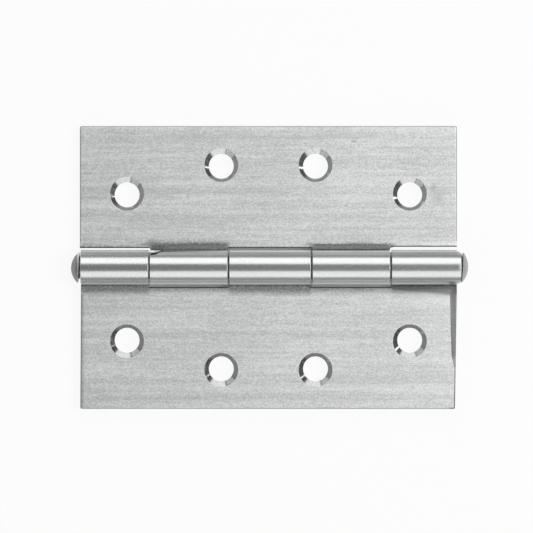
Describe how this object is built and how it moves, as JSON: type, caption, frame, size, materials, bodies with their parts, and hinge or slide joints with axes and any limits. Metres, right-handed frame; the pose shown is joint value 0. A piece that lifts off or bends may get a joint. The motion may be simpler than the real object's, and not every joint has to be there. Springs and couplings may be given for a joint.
{
  "type": "butt hinge",
  "caption": "Flat steel butt hinge with interleaved rolled knuckles on a fixed riveted pin and countersunk screw holes in each leaf.",
  "frame": {"origin": "under the middle of the leaves' length, below the pin's axis, on the surface that the barrel's lowest line touches", "axes": "+X along the pin towards the pressed head, +Y towards the two-knuckle leaf's free edge, +Z out of the countersunk faces"},
  "size_m": [0.1052, 0.075, 0.0093],
  "materials": {
    "leaf_steel": "bright brushed steel with a faint grain along the pin",
    "pin_steel": "plain pressed steel, slightly darker than the leaves"
  },
  "bodies": {
    "fixed_leaf": {"leaf_three_knuckle": "leaf_steel", "pin": "pin_steel"},
    "swinging_leaf": {"leaf_two_knuckle": "leaf_steel"}
  },
  "joints": [
    {"name": "swing", "type": "hinge", "parent": "fixed_leaf", "child": "swinging_leaf", "pos_m": [0, 0, 0.00464], "axis": [1, 0, 0], "range_deg": [-110, 182.5]}
  ]
}
